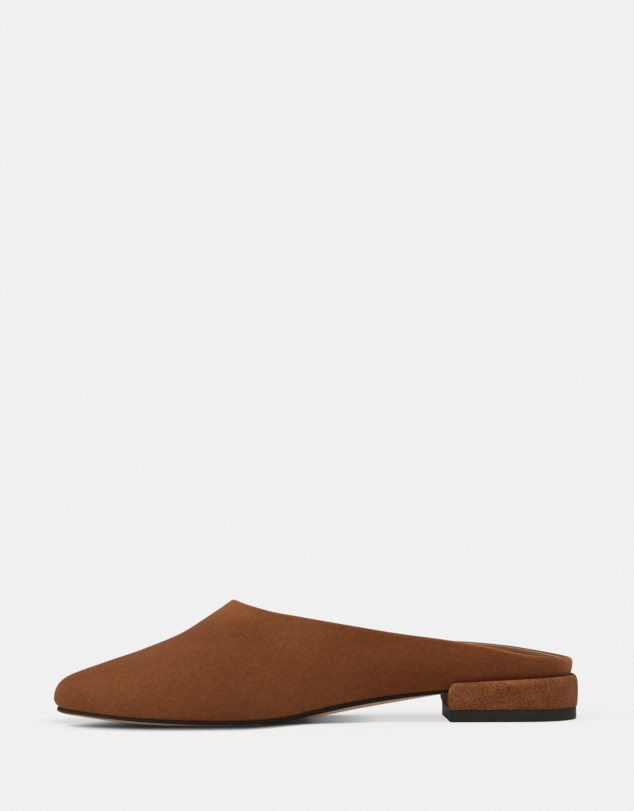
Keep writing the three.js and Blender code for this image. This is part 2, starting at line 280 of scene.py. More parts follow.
def evenly(line, count):
    run = np.concatenate([[0], np.cumsum(np.linalg.norm(np.diff(line, axis=0), axis=1))])
    want = np.linspace(0, run[-1], count + 1)
    return np.column_stack([np.interp(want, run, line[:, axis]) for axis in range(3)])


def quadsOf(grid):
    return np.stack([grid[:-1, :-1], grid[1:, :-1], grid[1:, 1:], grid[:-1, 1:]], -1).reshape(-1, 4)


def pointNormals(points, quads):
    a, b, c, d = (points[quads[:, i]] for i in range(4))
    faceNormals = np.cross(c - a, d - b)
    normals = np.zeros_like(points)
    for i in range(4):
        np.add.at(normals, quads[:, i], faceNormals)
    return normals / np.maximum(np.linalg.norm(normals, axis=1, keepdims=True), 1e-12)


# Soft hollows and swells that lasting and wear leave: start and end as x, side and share of the
# rib from the sole's edge to the top, then depth (a swell is negative) and half width. Each fades
# to a share of its depth at its ends.
upperShapes = [
    {"start": (-60, "inner", 0.95), "end": (-34, "inner", 0.30), "depth": 0.28, "width": 5.0},
    {"start": (-44, "inner", 0.80), "end": (-20, "inner", 0.35), "depth": -0.22, "width": 6.0},
    {"start": (-12, "inner", 0.90), "end": (-4, "inner", 0.30), "depth": 0.22, "width": 6.0},
    {"start": (-66, "outer", 0.95), "end": (-44, "outer", 0.30), "depth": 0.28, "width": 5.0},
    {"start": (-46, "outer", 0.85), "end": (-30, "outer", 0.35), "depth": -0.22, "width": 6.0},
    {"start": (-8, "outer", 0.90), "end": (2, "outer", 0.30), "depth": 0.20, "width": 6.0},
    {"start": (-112, "inner", 0.20), "end": (-84, "inner", 0.22), "depth": 0.15, "width": 4.0},
    {"start": (70, "inner", 0.75), "end": (100, "inner", 0.60), "depth": 0.18, "width": 3.0},
]
shapeEnds = {"share": 0.35, "clip": 0.02}
waviness = [{"depth": 0.10, "size": 17.0}, {"depth": 0.05, "size": 6.0}]


def shapeSkin(points, normals, grids):
    xs = np.array([station[0] for station in stations])
    shift = np.zeros(len(points))
    for shape in upperShapes:
        ends = []
        for x, side, share in (shape["start"], shape["end"]):
            i = int(np.argmin(np.abs(xs - x)))
            ends.append(points[grids[side][i, round(share * steps["rib"])]])
        along = ends[1] - ends[0]
        t = np.clip((points - ends[0]) @ along / (along @ along), 0, 1)
        gap = np.linalg.norm(points - ends[0] - along * t[:, None], axis=1)
        middle = np.sin(math.pi * np.clip(t, shapeEnds["clip"], 1 - shapeEnds["clip"]))
        fade = shapeEnds["share"] + (1 - shapeEnds["share"]) * middle
        shift -= shape["depth"] * fade * np.exp(-((gap / shape["width"]) ** 2))
    for i, point in enumerate(points):
        shift[i] += sum(wave["depth"] * noise.noise(Vector(point) / wave["size"]) for wave in waviness)
    return points + normals * shift[:, None]


# Painted light and shade on the suede: soft areas painted lighter where light falls and darker
# where shade falls, by place along the shoe and height.
paintedLightAreas = [
    {"x": -132, "z": 14, "reach": (7, 9), "tone": 0.25},
    {"x": -85, "z": 12, "reach": (36, 14), "tone": 0.20},
    {"x": -43, "z": 58, "reach": (15, 9), "tone": 0.42},
    {"x": -10, "z": 45, "reach": (17, 12), "tone": 0.32},
    {"x": 15, "z": 20, "reach": (18, 10), "tone": -0.10},
    {"x": 48, "z": 22, "reach": (23, 11), "tone": -0.30},
    {"x": 92, "z": 24, "reach": (30, 6), "tone": -0.20},
    {"x": 130, "z": 27, "reach": (9, 10), "tone": 0.85},
]
# Painted shade in the crease where the upper meets the heel's lip.
heelCreaseShade = {"tone": -0.42, "reach": 2.0, "from": last["breastX"] - 2, "to": last["breastX"] + 6}
darkestTone = -0.45


def paintedLightShade(points):
    x, z = points[:, 0], points[:, 2]
    rise = np.abs(z - lipAt(x)) / heelCreaseShade["reach"]
    tone = heelCreaseShade["tone"] * np.exp(-rise ** 2) * smoothStep(x, heelCreaseShade["from"], heelCreaseShade["to"])
    for area in paintedLightAreas:
        along, up = area["reach"]
        gap = ((x - area["x"]) / along) ** 2 + ((z - area["z"]) / up) ** 2
        tone += area["tone"] * np.exp(-gap)
    return np.maximum(tone, darkestTone)


def buildSkin():
    count, rows = len(stations), steps["rib"] + 1
    points = np.concatenate([
        np.array([ribOf(x, width, side) for x, width in stations]).reshape(-1, 3)
        for side in ("inner", "outer")
    ])
    inner = np.arange(count * rows).reshape(count, rows)
    outer = inner + count * rows
    outer[0], outer[-1] = inner[0], inner[-1]
    outer[: throatIndex + 1, -1] = inner[: throatIndex + 1, -1]
    used, renumbered = np.unique(np.concatenate([inner, outer]), return_inverse=True)
    points = points[used]
    renumbered = renumbered.reshape(2 * count, rows)
    grids = {"inner": renumbered[:count], "outer": renumbered[count:]}
    quads = np.concatenate([quadsOf(grids["inner"]), quadsOf(grids["outer"])[:, ::-1]])
    points = shapeSkin(points, skinNormals(points, quads, grids), grids)
    return points, quads, grids


# The ribs crowd together where they gather, so the ridge takes its normals from the crest's slope.
def skinNormals(points, quads, grids):
    normals = pointNormals(points, quads)
    ridge = grids["inner"][:throatIndex, -1]
    x = points[ridge, 0]
    slope, upright = crestLean(x)
    normals[ridge] = np.column_stack([-slope * upright, 0 * x, upright])
    return normals


def loopOf(grids, row, first=0):
    inner, outer = grids["inner"][first:, row], grids["outer"][first:, row]
    hasSharedStart = outer[0] == inner[0]
    return np.concatenate([inner, outer[1 if hasSharedStart else 0:-1][::-1]])


def levelOut(points, normals, loop, distance):
    flat = normals[loop] * (1, 1, 0)
    return points[loop] + flat / np.linalg.norm(flat, axis=1, keepdims=True) * distance


def ringQuads(lowLoop, highLoop):
    return np.column_stack([lowLoop, np.roll(lowLoop, -1), np.roll(highLoop, -1), highLoop])


merging = {"near": 0.004, "flat": 0.001}


def makePiece(name, points, quads, material, attributes=None, sharpFrom=180):
    mesh = bpy.data.meshes.new(name)
    mesh.from_pydata((np.asarray(points) * mm).tolist(), [], np.asarray(quads).tolist())
    for key, values in (attributes or {}).items():
        layer = mesh.attributes.new(key, "FLOAT", "POINT")
        layer.data.foreach_set("value", np.asarray(values, np.float32))
    work = bmesh.new()
    work.from_mesh(mesh)
    bmesh.ops.remove_doubles(work, verts=work.verts, dist=merging["near"] * mm)
    bmesh.ops.dissolve_degenerate(work, edges=work.edges, dist=merging["flat"] * mm)
    loose = [vert for vert in work.verts if not vert.link_faces]
    bmesh.ops.delete(work, geom=loose, context="VERTS")
    if work.calc_volume(signed=True) < 0:
        bmesh.ops.reverse_faces(work, faces=work.faces)
    openEdges = sum(1 for edge in work.edges if len(edge.link_faces) != 2)
    work.to_mesh(mesh)
    work.free()
    mesh.shade_smooth()
    mesh.set_sharp_from_angle(angle=math.radians(sharpFrom))
    piece = bpy.data.objects.new(name, mesh)
    bpy.context.scene.collection.objects.link(piece)
    mesh.materials.append(material)
    print(name, len(mesh.polygons), "faces,", openEdges, "open edges")
    dressPiece(piece)
    return piece


def dressPiece(piece):
    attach(piece, "root")


# Shader groups. Each gives out only values that change over the surface.
def newGroup(name, inputs, outputs):
    group = bpy.data.node_groups.new(name, "ShaderNodeTree")
    for socketName, kind, value in inputs:
        socket = group.interface.new_socket(socketName, in_out="INPUT", socket_type=kind)
        if value is not None:
            socket.default_value = value
    for socketName, kind in outputs:
        group.interface.new_socket(socketName, in_out="OUTPUT", socket_type=kind)
    return group, group.nodes.new("NodeGroupInput"), group.nodes.new("NodeGroupOutput")


def addNode(tree, kind, settings=None, **inputs):
    node = tree.nodes.new(kind)
    for key, value in (settings or {}).items():
        setattr(node, key, value)
    for key, value in inputs.items():
        socket = node.inputs[int(key[1:]) if key[0] == "i" and key[1:].isdigit() else key]
        if isinstance(value, bpy.types.NodeSocket):
            tree.links.new(value, socket)
        else:
            socket.default_value = value
    return node


def mathNode(tree, operation, a, b=0.0, clamp=False):
    settings = {"operation": operation, "use_clamp": clamp}
    return addNode(tree, "ShaderNodeMath", settings, i0=a, i1=b).outputs[0]


def vectorNode(tree, operation, a, **others):
    return addNode(tree, "ShaderNodeVectorMath", {"operation": operation}, i0=a, **others).outputs["Vector"]


def mixColor(tree, factor, a, b):
    node = tree.nodes.new("ShaderNodeMix")
    node.data_type = "RGBA"
    for socket, value in ((node.inputs[0], factor), (node.inputs[6], a), (node.inputs[7], b)):
        if isinstance(value, bpy.types.NodeSocket):
            tree.links.new(value, socket)
        else:
            socket.default_value = value
    return node.outputs[2]


# Nap: brushed fibres at a fine and a middling scale over slow, cloudy shading.
napBrush = {"turned": (0.0, 0.5, 0.35), "drawnOut": (0.62, 1.0, 1.0)}
napLayers = {
    "Fibre": {"detail": 3.0, "roughness": 0.65, "distortion": 0.4},
    "Tuft": {"detail": 3.0, "roughness": 0.6, "distortion": 0.8},
    "Cloud": {"detail": 2.0, "roughness": 0.5, "distortion": 0.3},
}
napHeight = {"Fibre": 0.7, "Tuft": 0.5}


def buildNapGroup():
    group, given, made = newGroup(
        "nap",
        [("Vector", "NodeSocketVector", None), ("Fibre Size", "NodeSocketFloat", 0.0007),
         ("Tuft Size", "NodeSocketFloat", 0.003), ("Cloud Size", "NodeSocketFloat", 0.02)],
        [("Fibre", "NodeSocketFloat"), ("Tuft", "NodeSocketFloat"), ("Cloud", "NodeSocketFloat"),
         ("Height", "NodeSocketFloat")],
    )
    brushed = addNode(group, "ShaderNodeMapping", {"vector_type": "POINT"}, Vector=given.outputs["Vector"],
                      Rotation=napBrush["turned"], Scale=napBrush["drawnOut"]).outputs[0]
    layers = {}
    for name, look in napLayers.items():
        scale = mathNode(group, "DIVIDE", 1.0, given.outputs[name + " Size"])
        layers[name] = addNode(group, "ShaderNodeTexNoise", None, Vector=brushed, Scale=scale,
                               Detail=look["detail"], Roughness=look["roughness"],
                               Distortion=look["distortion"]).outputs["Fac"]
        group.links.new(layers[name], made.inputs[name])
    parts = [mathNode(group, "MULTIPLY", layers[name], amount) for name, amount in napHeight.items()]
    group.links.new(mathNode(group, "ADD", *parts), made.inputs["Height"])
    return group


# Grain of smooth leather: small pebbles with fine creases between them, and a slower change of tone.
grainShape = {"steepness": 2.2, "roundness": 0.5, "toneScale": 0.08}


def buildGrainGroup():
    group, given, made = newGroup(
        "leatherGrain",
        [("Vector", "NodeSocketVector", None), ("Pebble Size", "NodeSocketFloat", 0.0012)],
        [("Height", "NodeSocketFloat"), ("Tone", "NodeSocketFloat")],
    )
    scale = mathNode(group, "DIVIDE", 1.0, given.outputs["Pebble Size"])
    pebble = addNode(group, "ShaderNodeTexVoronoi", {"feature": "DISTANCE_TO_EDGE"},
                     Vector=given.outputs["Vector"], Scale=scale).outputs["Distance"]
    steep = mathNode(group, "MULTIPLY", pebble, grainShape["steepness"], clamp=True)
    rounded = mathNode(group, "POWER", steep, grainShape["roundness"])
    toneScale = mathNode(group, "MULTIPLY", scale, grainShape["toneScale"])
    tone = addNode(group, "ShaderNodeTexNoise", None, Vector=given.outputs["Vector"], Scale=toneScale,
                   Detail=4.0, Roughness=0.6).outputs["Fac"]
    group.links.new(rounded, made.inputs["Height"])
    group.links.new(tone, made.inputs["Tone"])
    return group


# Rubbed patches and dust: a broken mask that grows with its Amount.
scuffShape = {"contrast": 4.0, "level": -2.6, "growth": 2.0}


def buildScuffGroup():
    group, given, made = newGroup(
        "scuff",
        [("Vector", "NodeSocketVector", None), ("Size", "NodeSocketFloat", 0.006),
         ("Amount", "NodeSocketFloat", 0.3)],
        [("Mask", "NodeSocketFloat")],
    )
    scale = mathNode(group, "DIVIDE", 1.0, given.outputs["Size"])
    broad = addNode(group, "ShaderNodeTexNoise", None, Vector=given.outputs["Vector"], Scale=scale,
                    Detail=6.0, Roughness=0.7).outputs["Fac"]
    raised = mathNode(group, "MULTIPLY", broad, scuffShape["contrast"])
    raised = mathNode(group, "ADD", raised, scuffShape["level"])
    amount = mathNode(group, "MULTIPLY", given.outputs["Amount"], scuffShape["growth"])
    mask = mathNode(group, "ADD", raised, amount, clamp=True)
    group.links.new(mask, made.inputs["Mask"])
    return group


napGroup, grainGroup, scuffGroup = buildNapGroup(), buildGrainGroup(), buildScuffGroup()


def newMaterial(name, color, look, **shader):
    material = bpy.data.materials.new(name)
    material.use_nodes = True
    tree = material.node_tree
    principled = tree.nodes["Principled BSDF"]
    principled.inputs["Base Color"].default_value = (*color, 1)
    principled.inputs["Roughness"].default_value = look["roughness"]
    principled.inputs["Specular IOR Level"].default_value = look["specular"]
    for key, value in shader.items():
        principled.inputs[key].default_value = value
    objectPlace = tree.nodes.new("ShaderNodeTexCoord").outputs["Object"]
    return material, tree, principled, objectPlace


def addBump(tree, principled, height, strength, distance):
    bump = addNode(tree, "ShaderNodeBump", None, Strength=strength, Distance=distance, Height=height)
    tree.links.new(bump.outputs["Normal"], principled.inputs["Normal"])


def addGroup(tree, group, place, **inputs):
    return addNode(tree, "ShaderNodeGroup", {"node_tree": group}, Vector=place, **inputs)


def readAttribute(tree, name):
    return addNode(tree, "ShaderNodeAttribute", {"attribute_name": name}).outputs["Fac"]


suedeLook = {
    "dark": (0.078, 0.0204, 0.0056),
    "middle": (0.150, 0.0425, 0.0122),
    "light": (0.272, 0.0960, 0.0340),
    "rampEnds": (0.15, 0.9),
    "roughness": 0.95,
    "specular": 0.15,
    "fibreSize": 0.00060,
    "tuftSize": 0.0016,
    "cloudSize": 0.030,
    "fibreContrast": 0.80,
    "tuftContrast": 0.30,
    "cloudContrast": 0.30,
    "bump": 0.55,
    "bumpDepth": 0.0006,
    "sheen": 0.16,
    "sheenRoughness": 0.40,
    "sheenTint": (1.0, 0.53, 0.235, 1),
    "toneTint": (1.0, 1.4, 1.8),
}
heelSuedeLook = {
    **suedeLook,
    "fibreSize": 0.00050,
    "tuftSize": 0.0012,
    "cloudSize": 0.012,
    "fibreContrast": 2.5,
    "tuftContrast": 0.5,
    "cloudContrast": 0.9,
    "bump": 0.9,
}


def suedeMaterial(name, look):
    material, tree, principled, place = newMaterial(name, look["middle"], look, **{
        "Sheen Weight": look["sheen"], "Sheen Roughness": look["sheenRoughness"],
        "Sheen Tint": look["sheenTint"]})
    nap = addGroup(tree, napGroup, place, **{
        "Fibre Size": look["fibreSize"], "Tuft Size": look["tuftSize"], "Cloud Size": look["cloudSize"]})

    def part(output, contrast):
        centred = mathNode(tree, "SUBTRACT", nap.outputs[output], 0.5)
        return mathNode(tree, "MULTIPLY", centred, look[contrast])

    tone = mathNode(tree, "ADD", part("Fibre", "fibreContrast"), part("Tuft", "tuftContrast"))
    tone = mathNode(tree, "ADD", tone, part("Cloud", "cloudContrast"))
    ramp = addNode(tree, "ShaderNodeValToRGB", None, Fac=mathNode(tree, "ADD", tone, 0.5, clamp=True))
    stops = ramp.color_ramp.elements
    stops[0].position, stops[1].position = look["rampEnds"]
    stops[0].color = (*look["dark"], 1)
    stops[1].color = (*look["light"], 1)
    stops.new(0.5).color = (*look["middle"], 1)
    # The colour is tinted by the painted light and shade that each piece carries.
    tint = vectorNode(tree, "SCALE", look["toneTint"], Scale=readAttribute(tree, "paintedLightShade"))
    tint = vectorNode(tree, "ADD", tint, i1=(1, 1, 1))
    toned = vectorNode(tree, "MULTIPLY", ramp.outputs["Color"], i1=tint)
    tree.links.new(toned, principled.inputs["Base Color"])
    addBump(tree, principled, nap.outputs["Height"], look["bump"], look["bumpDepth"])
    return material


# Each leather darkens from its color to its second one, by scuffs and grain, and in the lining by
# painted shade that deepens inside the shoe.
leatherLook = {
    "scuffSize": 0.012, "scuffAmount": 0.25, "scuffInDepth": 0.3, "grainShade": 0.35,
    "roughSpread": 0.2, "bumpDepth": 0.0002,
}
liningLook = {
    "color": (0.25, 0.098, 0.036), "second": (0.095, 0.030, 0.009), "roughness": 0.65,
    "specular": 0.35, "pebble": 0.0010, "bump": 0.25,
}
edgeLook = {
    "color": (0.50, 0.32, 0.20), "second": (0.32, 0.18, 0.10), "roughness": 0.6,
    "specular": 0.35, "pebble": 0.0008, "bump": 0.3,
}
footbedLook = {
    "color": (0.36, 0.21, 0.115), "second": (0.26, 0.14, 0.072), "roughness": 0.5,
    "specular": 0.35, "pebble": 0.0012, "bump": 0.3,
}
soleLook = {
    "tan": (0.50, 0.315, 0.19), "deep": (0.22, 0.125, 0.065), "scuffed": (0.16, 0.10, 0.06),
    "shadedTan": (0.055, 0.032, 0.018), "paint": (0.012, 0.0085, 0.0055), "chipped": (0.06, 0.045, 0.033),
    "deepShare": 0.6, "scuffShare": 0.35, "chipShare": 0.25, "scuffSize": 0.008, "scuffAmount": 0.3,
    "roughness": 0.6, "specular": 0.12, "pebble": 0.0009, "bump": 0.25, "bumpDepth": 0.0002,
}
rubberLook = {
    "color": (0.0165, 0.0168, 0.0125), "dust": (0.12, 0.11, 0.10), "dustShare": 0.10,
    "scuffSize": 0.005, "scuffAmount": 0.3, "roughness": 0.6, "roughSpread": 0.2, "specular": 0.15,
    "fineScale": 1400.0, "bump": 0.15, "bumpDepth": 0.0001,
}


def leatherMaterial(name, look, shadeAttribute=None):
    shared, second = leatherLook, (*look["second"], 1)
    material, tree, principled, place = newMaterial(name, look["color"], look)
    grain = addGroup(tree, grainGroup, place, **{"Pebble Size": look["pebble"]})
    scuff = addGroup(tree, scuffGroup, place, Size=shared["scuffSize"], Amount=shared["scuffAmount"])
    mask = scuff.outputs["Mask"]
    if shadeAttribute:
        faint = mathNode(tree, "MULTIPLY", mask, shared["scuffInDepth"])
        mask = mathNode(tree, "MAXIMUM", faint, readAttribute(tree, shadeAttribute))
    tinted = mixColor(tree, mask, (*look["color"], 1), second)
    grainShade = mathNode(tree, "MULTIPLY", grain.outputs["Tone"], shared["grainShade"])
    tree.links.new(mixColor(tree, grainShade, tinted, second), principled.inputs["Base Color"])
    rough = mathNode(tree, "MULTIPLY", grain.outputs["Tone"], shared["roughSpread"])
    rough = mathNode(tree, "ADD", rough, look["roughness"] - shared["roughSpread"] / 2)
    tree.links.new(rough, principled.inputs["Roughness"])
    addBump(tree, principled, grain.outputs["Height"], look["bump"], shared["bumpDepth"])
    return material


def soleMaterial():
    look = soleLook
    material, tree, principled, place = newMaterial("soleLeather", look["tan"], look)
    grain = addGroup(tree, grainGroup, place, **{"Pebble Size": look["pebble"]})
    scuff = addGroup(tree, scuffGroup, place, Size=look["scuffSize"], Amount=look["scuffAmount"])

    def shareOf(source, name):
        return mathNode(tree, "MULTIPLY", source, look[name])

    def towards(base, share, name):
        return mixColor(tree, share, base, (*look[name], 1))

    leather = towards((*look["tan"], 1), shareOf(grain.outputs["Tone"], "deepShare"), "deep")
    leather = towards(leather, shareOf(scuff.outputs["Mask"], "scuffShare"), "scuffed")
    # Painted shade on the tan margin at the waist; a painted highlight on the black edge at the toe and
    # painted shade along the arch.
    leather = towards(leather, readAttribute(tree, "waistShade"), "shadedTan")
    edge = towards((*look["paint"], 1), shareOf(scuff.outputs["Mask"], "chipShare"), "chipped")
    edge = vectorNode(tree, "SCALE", edge, Scale=readAttribute(tree, "edgeLightShade"))
    shown = mixColor(tree, readAttribute(tree, "edgePaint"), leather, edge)
    tree.links.new(shown, principled.inputs["Base Color"])
    addBump(tree, principled, grain.outputs["Height"], look["bump"], look["bumpDepth"])
    return material


def rubberMaterial():
    look = rubberLook
    material, tree, principled, place = newMaterial("heelRubber", look["color"], look)
    scuff = addGroup(tree, scuffGroup, place, Size=look["scuffSize"], Amount=look["scuffAmount"])
    mask = scuff.outputs["Mask"]
    dusty = mathNode(tree, "MULTIPLY", mask, look["dustShare"])
    shown = mixColor(tree, dusty, (*look["color"], 1), (*look["dust"], 1))
    tree.links.new(shown, principled.inputs["Base Color"])
    rough = mathNode(tree, "MULTIPLY", mask, look["roughSpread"])
    tree.links.new(mathNode(tree, "ADD", rough, look["roughness"]), principled.inputs["Roughness"])
    fine = addNode(tree, "ShaderNodeTexNoise", None, Vector=place, Scale=look["fineScale"], Detail=2.0)
    addBump(tree, principled, fine.outputs["Fac"], look["bump"], look["bumpDepth"])
    return material


upperSuede = suedeMaterial("upperSuede", suedeLook)
heelSuede = suedeMaterial("heelSuede", heelSuedeLook)
liningLeather = leatherMaterial("liningLeather", liningLook, "depth")
edgeLeather = leatherMaterial("liningCutEdge", edgeLook)
footbedLeather = leatherMaterial("footbedLeather", footbedLook)
soleLeather = soleMaterial()
heelRubber = rubberMaterial()
print("materials ready")

skinPoints, skinQuads, skinGrids = buildSkin()
normals = skinNormals(skinPoints, skinQuads, skinGrids)
print("skin of the upper shaped")

# The suede and its stiffener: a closed wall between the skin and a parallel face inside it.
suedeWall = {"thickness": 1.2, "curl": 0.35, "seamGap": 0.06}


def buildUpper():
    wall = suedeWall["thickness"]
    count = len(skinPoints)
    footLoop = loopOf(skinGrids, 0)
    rimLoop = loopOf(skinGrids, -1, throatIndex)
    inside = skinPoints - normals * wall
    soleTop = footAt(skinPoints[footLoop, 0]) + suedeWall["seamGap"]
    inside[footLoop] = levelOut(skinPoints, normals, footLoop, -wall)
    inside[footLoop, 2] = soleTop
    curl = levelOut(skinPoints, normals, footLoop, -suedeWall["curl"])
    curl[:, 2] = soleTop
    curlLoop = 2 * count + np.arange(len(footLoop))
    points = np.vstack([skinPoints, inside, curl])
    quads = np.vstack([
        skinQuads,
        skinQuads[:, ::-1] + count,
        ringQuads(rimLoop, rimLoop + count),
        ringQuads(curlLoop, footLoop),
        ringQuads(footLoop + count, curlLoop),
    ])
    piece = makePiece("upperSuede", points, quads, upperSuede, {"paintedLightShade": paintedLightShade(points)})
    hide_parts("upper")


buildUpper()


# The frame of the collar's edge: where the skin ends, its normal, and the way up and over.
def collarFrame():
    loop = loopOf(skinGrids, -1, throatIndex)
    ends = skinPoints[loop]
    normal = normals[loop]
    along = np.roll(ends, -1, axis=0) - np.roll(ends, 1, axis=0)
    over = np.cross(along, normal)
    over /= np.linalg.norm(over, axis=1, keepdims=True)
    inner, outer = skinGrids["inner"][throatIndex:, -2], skinGrids["outer"][throatIndex + 1:-1, -2]
    below = skinPoints[np.concatenate([inner, outer[::-1]])]
    if np.sum((ends - below) * over) < 0:
        over = -over
    normal = np.cross(over, along)
    normal /= np.linalg.norm(normal, axis=1, keepdims=True)
    if np.sum(normal * normals[loop]) < 0:
        normal = -normal
    return loop, ends, normal, over


rimLoop, rimEnds, rimNormal, rimOver = collarFrame()
rimRoll = rollAt(rimEnds[:, 0])[:, None]


# A tube along a closed path, made by nodes: the path's own radius attribute times Radius.
def buildEdgeTree():
    tree = bpy.data.node_groups.new("edgeRoll", "GeometryNodeTree")
    for socketName, inOut, kind, value in (
        ("Geometry", "INPUT", "NodeSocketGeometry", None),
        ("Radius", "INPUT", "NodeSocketFloat", 1.0),
        ("Sides", "INPUT", "NodeSocketInt", 20),
        ("Material", "INPUT", "NodeSocketMaterial", None),
        ("Geometry", "OUTPUT", "NodeSocketGeometry", None),
    ):
        socket = tree.interface.new_socket(socketName, in_out=inOut, socket_type=kind)
        if value is not None:
            socket.default_value = value
    given, made = tree.nodes.new("NodeGroupInput"), tree.nodes.new("NodeGroupOutput")
    path = tree.nodes.new("GeometryNodeMeshToCurve")
    tree.links.new(given.outputs["Geometry"], path.inputs["Mesh"])
    ownRadius = tree.nodes.new("GeometryNodeInputNamedAttribute")
    ownRadius.data_type = "FLOAT"
    ownRadius.inputs["Name"].default_value = "rollRadius"
    scaled = addNode(tree, "ShaderNodeMath", {"operation": "MULTIPLY"}, i0=ownRadius.outputs["Attribute"],
                     i1=given.outputs["Radius"])
    circle = addNode(tree, "GeometryNodeCurvePrimitiveCircle", None, Resolution=given.outputs["Sides"],
                     Radius=1.0)
    tube = addNode(tree, "GeometryNodeCurveToMesh", None, Curve=path.outputs["Curve"],
                   Scale=scaled.outputs[0])
    tree.links.new(circle.outputs["Curve"], tube.inputs["Profile Curve"])
    real = addNode(tree, "GeometryNodeRealizeInstances", None, Geometry=tube.outputs[0])
    dressed = addNode(tree, "GeometryNodeSetMaterial", None, Geometry=real.outputs[0])
    tree.links.new(given.outputs["Material"], dressed.inputs["Material"])
    tree.links.new(dressed.outputs[0], made.inputs["Geometry"])
    return tree


edgeTree = buildEdgeTree()


# ToneOf, where given, takes each point's place and how far up its own ring it lies, 1 at the top.
def rollAlong(name, path, radii, sides, material, toneOf=None):
    count = len(path)
    mesh = bpy.data.meshes.new(name + "Path")
    mesh.from_pydata((path * mm).tolist(), [(i, (i + 1) % count) for i in range(count)], [])
    layer = mesh.attributes.new("rollRadius", "FLOAT", "POINT")
    layer.data.foreach_set("value", np.asarray(radii, np.float32).ravel() * mm)
    source = bpy.data.objects.new(name + "Path", mesh)
    bpy.context.scene.collection.objects.link(source)
    modifier = source.modifiers.new("edgeRoll", "NODES")
    modifier.node_group = edgeTree
    given = {item.name: item.identifier for item in edgeTree.interface.items_tree if item.in_out == "INPUT"}
    modifier[given["Radius"]] = 1.0
    modifier[given["Sides"]] = sides
    modifier[given["Material"]] = material
    evaluated = source.evaluated_get(bpy.context.evaluated_depsgraph_get())
    tube = bpy.data.meshes.new_from_object(evaluated)
    bpy.data.objects.remove(source)
    work = bmesh.new()
    work.from_mesh(tube)
    if work.calc_volume(signed=True) < 0:
        bmesh.ops.reverse_faces(work, faces=work.faces)
    work.to_mesh(tube)
    work.free()
    tube.shade_smooth()
    tube.name = name
    if toneOf:
        places = np.array([vert.co for vert in tube.vertices]) / mm
        up = (places - np.repeat(path, sides, axis=0))[:, 2] / np.repeat(np.asarray(radii).ravel(), sides)
        layer = tube.attributes.new("paintedLightShade", "FLOAT", "POINT")
        layer.data.foreach_set("value", toneOf(places, up).astype(np.float32))
    piece = bpy.data.objects.new(name, tube)
    bpy.context.scene.collection.objects.link(piece)
    print(name, len(tube.polygons), "faces")
    dressPiece(piece)


# The collar's roll is painted a little lighter all round, with a painted highlight on its top near
# the heel on the inner side and painted shade on its outer side.
collar = {
    "sides": 24,
    "lightened": 0.12,
    "worn": 11.0,
    "wornTop": (0.55, 1.0),
    "wornFrom": (50, 75),
    "wornTo": (96, 116),
    "innerSide": (-14, -2),
    "shade": -0.42,
    "shadeFrom": (30, 60),
    "outerSide": (-6, 6),
}


def collarTone(places, up):
    x, y = places[:, 0], places[:, 1]
    near = smoothStep(x, *collar["wornFrom"]) * (1 - smoothStep(x, *collar["wornTo"]))
    near = near * (1 - smoothStep(y, *collar["innerSide"]))
    worn = collar["lightened"] * (1 + collar["worn"] * smoothStep(up, *collar["wornTop"]) * near)
    shaded = collar["shade"] * smoothStep(x, *collar["shadeFrom"]) * smoothStep(y, *collar["outerSide"])
    return paintedLightShade(places) + worn + shaded


rimMiddle = rimEnds - rimNormal * rimRoll
rollAlong("collarRoll", rimMiddle, rimRoll, collar["sides"], upperSuede, collarTone)

# The lining, a thin shell against the wall, from Start to End below the skin. It climbs the inside
# of the rolled edge to Turn, in degrees above the roll's middle, and its cut edge shows there. It is
# painted darker the deeper it lies below the collar's top, from DarkFrom to DarkTo, and the part
# under the vamp counts UnderVamp deeper.
lining = {
    "start": 1.25,
    "end": 2.05,
    "turn": 32,
    "clear": 0.12,
    "sunk": 0.25,
    "rollFrom": 0.3,
    "footGap": 0.35,
    "edgeRadius": 0.30,
    "edgeSides": 10,
    "edgeSunk": 0.12,
    "darkFrom": 0.3,
    "darkTo": 3.0,
    "underVamp": 20.0,
}


def liningDepths():
    depth = np.full(len(skinPoints), lining["end"])
    below = np.zeros(len(skinPoints))
    for side in ("inner", "outer"):
        grid = skinGrids[side]
        for i in range(len(stations)):
            below[grid[i]] = skinPoints[grid[i, -1], 2] - skinPoints[grid[i], 2]
            below[grid[i]] += (i < throatIndex) * lining["underVamp"]
        for i in range(throatIndex, len(stations)):
            share = np.linspace(0, 1, grid.shape[1])
            full = max(lining["end"], 2 * float(rollAt(skinPoints[grid[i, -1], 0])) + lining["clear"])
            rolled = smoothStep(share, lining["rollFrom"], 1)
            depth[grid[i]] = lining["end"] + (full - lining["end"]) * rolled
    return depth, below


